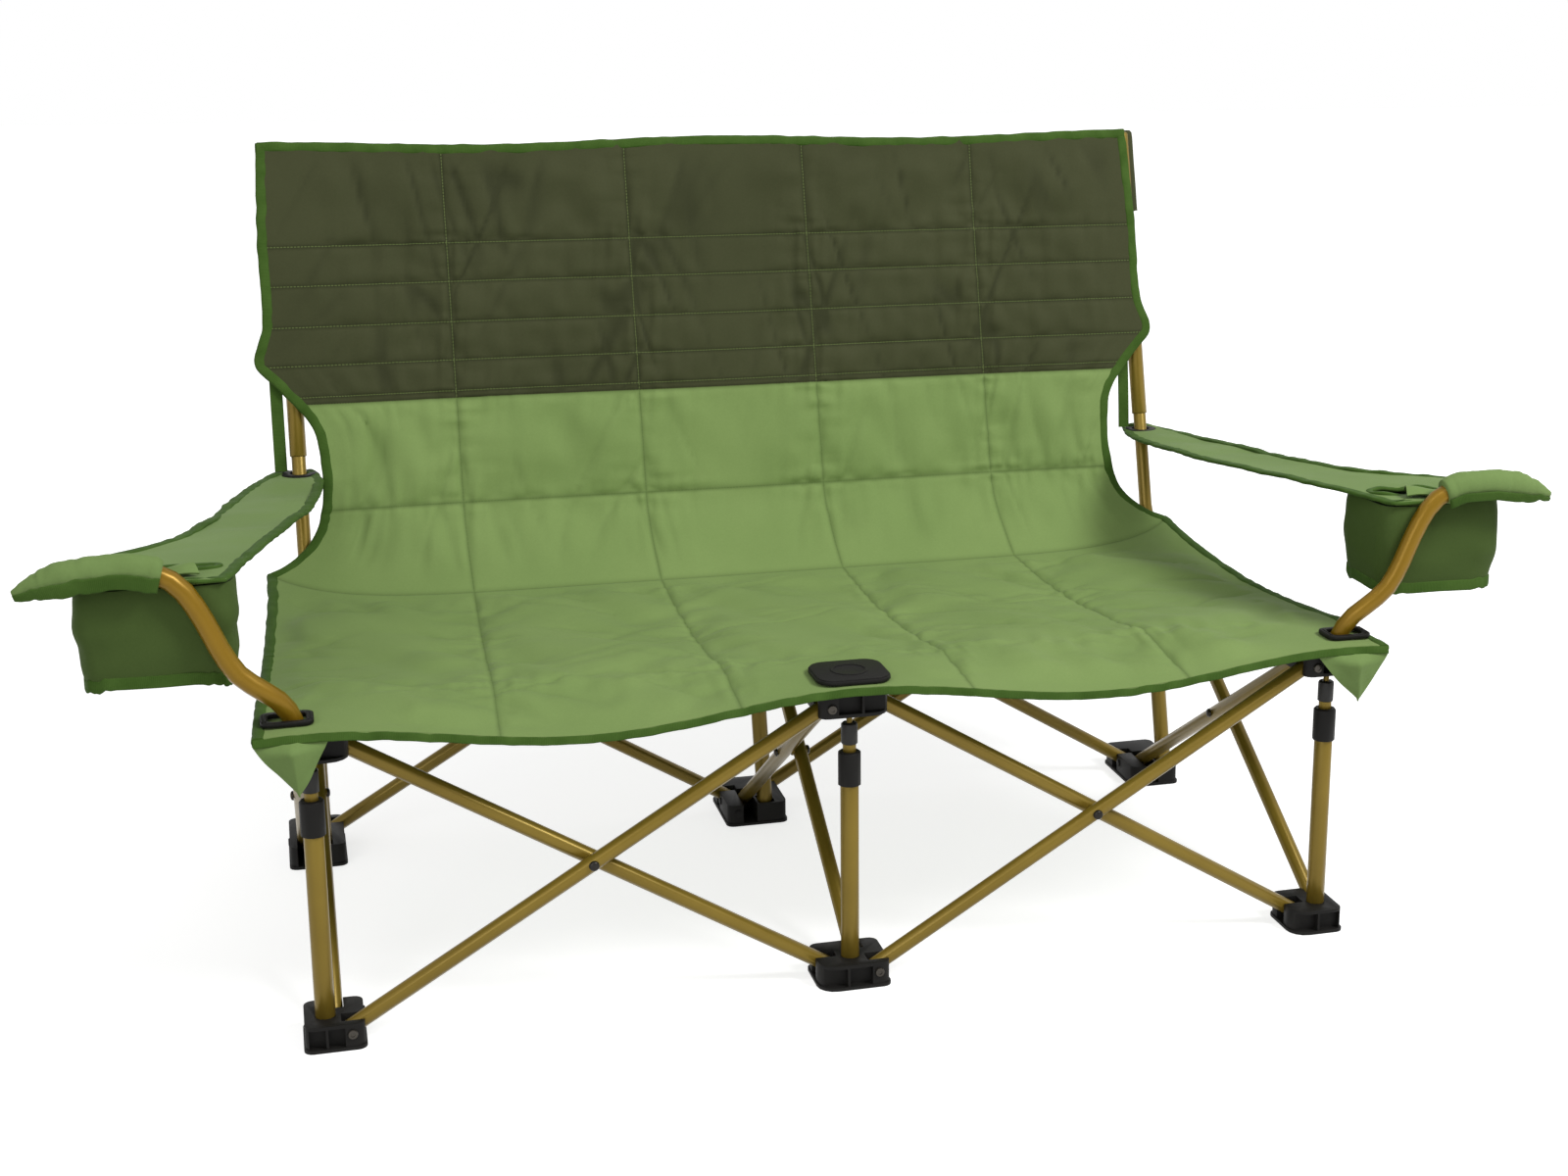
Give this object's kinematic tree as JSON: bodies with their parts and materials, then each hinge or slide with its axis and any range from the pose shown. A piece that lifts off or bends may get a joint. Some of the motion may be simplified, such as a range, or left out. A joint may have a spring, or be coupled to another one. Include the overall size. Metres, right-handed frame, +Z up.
{
  "type": "folding camping loveseat",
  "caption": "Two-place folding camp chair with a quilted sling seat and back, scissor-bar frame, telescoping front posts and fabric armrests with cup pouches.",
  "frame": {"origin": "middle of the bounding box's bottom, on the ground", "axes": "+X to the right as seen from the front, +Y to the rear, +Z up"},
  "size_m": [1.522, 0.728, 0.8063],
  "materials": {
    "bronze_tube": "satin olive-bronze coating",
    "gold_tube": "satin golden coating",
    "black_plastic": "moulded, fine grain",
    "sage_fabric": "quilted woven polyester",
    "dark_fabric": "quilted woven polyester"
  },
  "bodies": {
    "rear_centre_foot": {"rear_centre_foot": "black_plastic"},
    "centre_side_falling_bar": {"centre_side_falling_bar": "bronze_tube"},
    "centre_side_rising_bar": {"centre_side_rising_bar": "bronze_tube"},
    "front_left_foot": {"front_left_foot": "black_plastic", "front_left_post_tube": "bronze_tube", "front_left_post_collar": "black_plastic"},
    "front_left_hub": {"front_left_hub": "black_plastic", "front_left_post_rod": "bronze_tube", "left_arm_tube": "gold_tube", "left_armrest": "sage_fabric", "left_cup_pouch": "sage_fabric", "left_seat_grommet": "black_plastic"},
    "front_left_post_slider": {"front_left_post_slider": "bronze_tube"},
    "rear_left_foot": {"rear_left_foot": "black_plastic"},
    "rear_left_hub": {"rear_left_hub": "black_plastic"},
    "rear_left_post": {"rear_left_post": "bronze_tube", "rear_left_post_sleeve": "bronze_tube", "left_back_strap": "sage_fabric"},
    "front_centre_foot": {"front_centre_foot": "black_plastic", "front_centre_post_tube": "bronze_tube", "front_centre_post_collar": "black_plastic"},
    "front_centre_hub": {"front_centre_hub": "black_plastic", "front_centre_post_rod": "bronze_tube", "seat_plate": "black_plastic"},
    "front_centre_post_slider": {"front_centre_post_slider": "bronze_tube"},
    "rear_centre_hub": {"rear_centre_hub": "black_plastic"},
    "rear_centre_post": {"rear_centre_post": "bronze_tube", "rear_centre_post_sleeve": "bronze_tube", "back": "dark_fabric"},
    "front_right_foot": {"front_right_foot": "black_plastic", "front_right_post_tube": "bronze_tube", "front_right_post_collar": "black_plastic"},
    "front_right_hub": {"front_right_hub": "black_plastic", "front_right_post_rod": "bronze_tube", "right_arm_tube": "gold_tube", "right_armrest": "sage_fabric", "right_cup_pouch": "sage_fabric", "right_seat_grommet": "black_plastic"},
    "front_right_post_slider": {"front_right_post_slider": "bronze_tube"},
    "rear_right_foot": {"rear_right_foot": "black_plastic"},
    "rear_right_hub": {"rear_right_hub": "black_plastic"},
    "rear_right_post": {"rear_right_post": "bronze_tube", "rear_right_post_sleeve": "bronze_tube", "right_back_strap": "sage_fabric"},
    "front_left_rising_bar": {"front_left_rising_bar": "bronze_tube"},
    "front_left_falling_bar": {"front_left_falling_bar": "bronze_tube"},
    "front_right_rising_bar": {"front_right_rising_bar": "bronze_tube"},
    "front_right_falling_bar": {"front_right_falling_bar": "bronze_tube"},
    "rear_left_rising_bar": {"rear_left_rising_bar": "bronze_tube"},
    "rear_left_falling_bar": {"rear_left_falling_bar": "bronze_tube"},
    "rear_right_rising_bar": {"rear_right_rising_bar": "bronze_tube"},
    "rear_right_falling_bar": {"rear_right_falling_bar": "bronze_tube"},
    "left_side_rising_bar": {"left_side_rising_bar": "bronze_tube"},
    "left_side_falling_bar": {"left_side_falling_bar": "bronze_tube"},
    "left_armrest_ring": {"left_armrest_ring": "black_plastic"},
    "right_side_rising_bar": {"right_side_rising_bar": "bronze_tube"},
    "right_side_falling_bar": {"right_side_falling_bar": "bronze_tube"},
    "right_armrest_ring": {"right_armrest_ring": "black_plastic"},
    "seat_front_half": {"seat_front": "sage_fabric"},
    "seat_rear_half": {"seat_rear": "sage_fabric"}
  },
  "joints": [
    {"name": "fold", "type": "hinge", "parent": "rear_centre_foot", "child": "centre_side_falling_bar", "pos_m": [-0.009, 0.17396, 0.016], "axis": [-1, 0, 0], "range_deg": [0, 51]},
    {"name": "centre_side_scissor", "type": "hinge", "parent": "centre_side_falling_bar", "child": "centre_side_rising_bar", "pos_m": [0, -0.06104, 0.1572], "axis": [-1, 0, 0], "range_deg": [-102, 0]},
    {"name": "front_centre_foot_pin", "type": "hinge", "parent": "centre_side_rising_bar", "child": "front_centre_foot", "pos_m": [0.009, -0.29604, 0.016], "axis": [-1, 0, 0], "range_deg": [0, 51]},
    {"name": "front_centre_hub_pin", "type": "hinge", "parent": "centre_side_falling_bar", "child": "front_centre_hub", "pos_m": [-0.009, -0.29604, 0.29841], "axis": [-1, 0, 0], "range_deg": [-51, 0]},
    {"name": "rear_centre_hub_pin", "type": "hinge", "parent": "centre_side_rising_bar", "child": "rear_centre_hub", "pos_m": [0.009, 0.17396, 0.29841], "axis": [-1, 0, 0], "range_deg": [0, 51]},
    {"name": "front_left_falling_bar_pin", "type": "hinge", "parent": "front_centre_foot", "child": "front_left_falling_bar", "pos_m": [-0.024, -0.31104, 0.016], "axis": [0, 1, 0], "range_deg": [0, 51]},
    {"name": "front_left_scissor", "type": "hinge", "parent": "front_left_falling_bar", "child": "front_left_rising_bar", "pos_m": [-0.259, -0.32004, 0.1572], "axis": [0, 1, 0], "range_deg": [-102, 0]},
    {"name": "front_left_foot_pin", "type": "hinge", "parent": "front_left_rising_bar", "child": "front_left_foot", "pos_m": [-0.494, -0.32904, 0.016], "axis": [0, 1, 0], "range_deg": [0, 51]},
    {"name": "front_left_hub_pin", "type": "hinge", "parent": "front_left_falling_bar", "child": "front_left_hub", "pos_m": [-0.494, -0.31104, 0.29841], "axis": [0, 1, 0], "range_deg": [-51, 0]},
    {"name": "front_right_rising_bar_pin", "type": "hinge", "parent": "front_centre_foot", "child": "front_right_rising_bar", "pos_m": [0.024, -0.32904, 0.016], "axis": [0, 1, 0], "range_deg": [-51, 0]},
    {"name": "front_right_scissor", "type": "hinge", "parent": "front_right_rising_bar", "child": "front_right_falling_bar", "pos_m": [0.259, -0.32004, 0.1572], "axis": [0, 1, 0], "range_deg": [0, 102]},
    {"name": "front_right_foot_pin", "type": "hinge", "parent": "front_right_falling_bar", "child": "front_right_foot", "pos_m": [0.494, -0.31104, 0.016], "axis": [0, 1, 0], "range_deg": [-51, 0]},
    {"name": "front_right_hub_pin", "type": "hinge", "parent": "front_right_rising_bar", "child": "front_right_hub", "pos_m": [0.494, -0.32904, 0.29841], "axis": [0, 1, 0], "range_deg": [0, 51]},
    {"name": "rear_left_falling_bar_pin", "type": "hinge", "parent": "rear_centre_foot", "child": "rear_left_falling_bar", "pos_m": [-0.024, 0.18896, 0.016], "axis": [0, 1, 0], "range_deg": [0, 51]},
    {"name": "rear_left_scissor", "type": "hinge", "parent": "rear_left_falling_bar", "child": "rear_left_rising_bar", "pos_m": [-0.259, 0.19796, 0.1572], "axis": [0, 1, 0], "range_deg": [-102, 0]},
    {"name": "rear_left_foot_pin", "type": "hinge", "parent": "rear_left_rising_bar", "child": "rear_left_foot", "pos_m": [-0.494, 0.20696, 0.016], "axis": [0, 1, 0], "range_deg": [0, 51]},
    {"name": "rear_left_hub_pin", "type": "hinge", "parent": "rear_left_falling_bar", "child": "rear_left_hub", "pos_m": [-0.494, 0.18896, 0.29841], "axis": [0, 1, 0], "range_deg": [-51, 0]},
    {"name": "rear_right_rising_bar_pin", "type": "hinge", "parent": "rear_centre_foot", "child": "rear_right_rising_bar", "pos_m": [0.024, 0.20696, 0.016], "axis": [0, 1, 0], "range_deg": [-51, 0]},
    {"name": "rear_right_scissor", "type": "hinge", "parent": "rear_right_rising_bar", "child": "rear_right_falling_bar", "pos_m": [0.259, 0.19796, 0.1572], "axis": [0, 1, 0], "range_deg": [0, 102]},
    {"name": "rear_right_foot_pin", "type": "hinge", "parent": "rear_right_falling_bar", "child": "rear_right_foot", "pos_m": [0.494, 0.18896, 0.016], "axis": [0, 1, 0], "range_deg": [-51, 0]},
    {"name": "rear_right_hub_pin", "type": "hinge", "parent": "rear_right_rising_bar", "child": "rear_right_hub", "pos_m": [0.494, 0.20696, 0.29841], "axis": [0, 1, 0], "range_deg": [0, 51]},
    {"name": "left_side_falling_bar_pin", "type": "hinge", "parent": "rear_left_foot", "child": "left_side_falling_bar", "pos_m": [-0.527, 0.17396, 0.016], "axis": [-1, 0, 0], "range_deg": [0, 51]},
    {"name": "left_side_scissor", "type": "hinge", "parent": "left_side_falling_bar", "child": "left_side_rising_bar", "pos_m": [-0.518, -0.06104, 0.1572], "axis": [-1, 0, 0], "range_deg": [-102, 0]},
    {"name": "right_side_falling_bar_pin", "type": "hinge", "parent": "rear_right_foot", "child": "right_side_falling_bar", "pos_m": [0.509, 0.17396, 0.016], "axis": [-1, 0, 0], "range_deg": [0, 51]},
    {"name": "right_side_scissor", "type": "hinge", "parent": "right_side_falling_bar", "child": "right_side_rising_bar", "pos_m": [0.518, -0.06104, 0.1572], "axis": [-1, 0, 0], "range_deg": [-102, 0]},
    {"name": "rear_left_post_lean", "type": "hinge", "parent": "rear_left_foot", "child": "rear_left_post", "pos_m": [-0.506, 0.13996, 0.014], "axis": [1, 0, 0], "range_deg": [0, 7.04], "deforming": ["left_back_strap"]},
    {"name": "front_left_post_slide", "type": "slide", "parent": "front_left_foot", "child": "front_left_post_slider", "axis": [0, 0, 1], "range_m": [0, 0.12497]},
    {"name": "rear_centre_post_lean", "type": "hinge", "parent": "rear_centre_foot", "child": "rear_centre_post", "pos_m": [0.012, 0.13996, 0.014], "axis": [1, 0, 0], "range_deg": [0, 7.04], "deforming": ["back"]},
    {"name": "front_centre_post_slide", "type": "slide", "parent": "front_centre_foot", "child": "front_centre_post_slider", "axis": [0, 0, 1], "range_m": [0, 0.12497]},
    {"name": "rear_right_post_lean", "type": "hinge", "parent": "rear_right_foot", "child": "rear_right_post", "pos_m": [0.53, 0.13996, 0.014], "axis": [1, 0, 0], "range_deg": [0, 7.04], "deforming": ["right_back_strap"]},
    {"name": "front_right_post_slide", "type": "slide", "parent": "front_right_foot", "child": "front_right_post_slider", "axis": [0, 0, 1], "range_m": [0, 0.12497]},
    {"name": "left_armrest_ring_slide", "type": "slide", "parent": "rear_left_post", "child": "left_armrest_ring", "axis": [0, 0.2588, 0.9659], "range_m": [0, 0.25155], "deforming": ["left_armrest"]},
    {"name": "right_armrest_ring_slide", "type": "slide", "parent": "rear_right_post", "child": "right_armrest_ring", "axis": [0, 0.2588, 0.9659], "range_m": [0, 0.25155], "deforming": ["right_armrest"]},
    {"name": "seat_front_swing", "type": "hinge", "parent": "front_centre_hub", "child": "seat_front_half", "pos_m": [0, -0.32004, 0.3204], "axis": [-1, 0, 0], "range_deg": [0, 76.14], "deforming": ["seat_front"]},
    {"name": "seat_rear_swing", "type": "hinge", "parent": "rear_centre_hub", "child": "seat_rear_half", "pos_m": [0, 0.19796, 0.3204], "axis": [1, 0, 0], "range_deg": [0, 76.14], "deforming": ["seat_rear"]}
  ],
  "couplings": [
    {"joint": "centre_side_scissor", "follows": "fold", "ratio": -2},
    {"joint": "front_centre_foot_pin", "follows": "fold", "ratio": 1},
    {"joint": "front_centre_hub_pin", "follows": "fold", "ratio": -1},
    {"joint": "rear_centre_hub_pin", "follows": "fold", "ratio": 1},
    {"joint": "front_left_falling_bar_pin", "follows": "fold", "ratio": 1},
    {"joint": "front_left_scissor", "follows": "fold", "ratio": -2},
    {"joint": "front_left_foot_pin", "follows": "fold", "ratio": 1},
    {"joint": "front_left_hub_pin", "follows": "fold", "ratio": -1},
    {"joint": "front_right_rising_bar_pin", "follows": "fold", "ratio": -1},
    {"joint": "front_right_scissor", "follows": "fold", "ratio": 2},
    {"joint": "front_right_foot_pin", "follows": "fold", "ratio": -1},
    {"joint": "front_right_hub_pin", "follows": "fold", "ratio": 1},
    {"joint": "rear_left_falling_bar_pin", "follows": "fold", "ratio": 1},
    {"joint": "rear_left_scissor", "follows": "fold", "ratio": -2},
    {"joint": "rear_left_foot_pin", "follows": "fold", "ratio": 1},
    {"joint": "rear_left_hub_pin", "follows": "fold", "ratio": -1},
    {"joint": "rear_right_rising_bar_pin", "follows": "fold", "ratio": -1},
    {"joint": "rear_right_scissor", "follows": "fold", "ratio": 2},
    {"joint": "rear_right_foot_pin", "follows": "fold", "ratio": -1},
    {"joint": "rear_right_hub_pin", "follows": "fold", "ratio": 1},
    {"joint": "left_side_falling_bar_pin", "follows": "fold", "ratio": 1},
    {"joint": "left_side_scissor", "follows": "fold", "ratio": -2},
    {"joint": "right_side_falling_bar_pin", "follows": "fold", "ratio": 1},
    {"joint": "right_side_scissor", "follows": "fold", "ratio": -2},
    {"joint": "rear_left_post_lean", "follows": "fold", "ratio": 0.138},
    {"joint": "front_left_post_slide", "follows": "fold", "m_per_rad": 0.1404},
    {"joint": "rear_centre_post_lean", "follows": "fold", "ratio": 0.138},
    {"joint": "front_centre_post_slide", "follows": "fold", "m_per_rad": 0.1404},
    {"joint": "rear_right_post_lean", "follows": "fold", "ratio": 0.138},
    {"joint": "front_right_post_slide", "follows": "fold", "m_per_rad": 0.1404},
    {"joint": "left_armrest_ring_slide", "follows": "fold", "m_per_rad": 0.2826},
    {"joint": "right_armrest_ring_slide", "follows": "fold", "m_per_rad": 0.2826},
    {"joint": "seat_front_swing", "follows": "fold", "ratio": 1.493},
    {"joint": "seat_rear_swing", "follows": "fold", "ratio": 1.493}
  ]
}
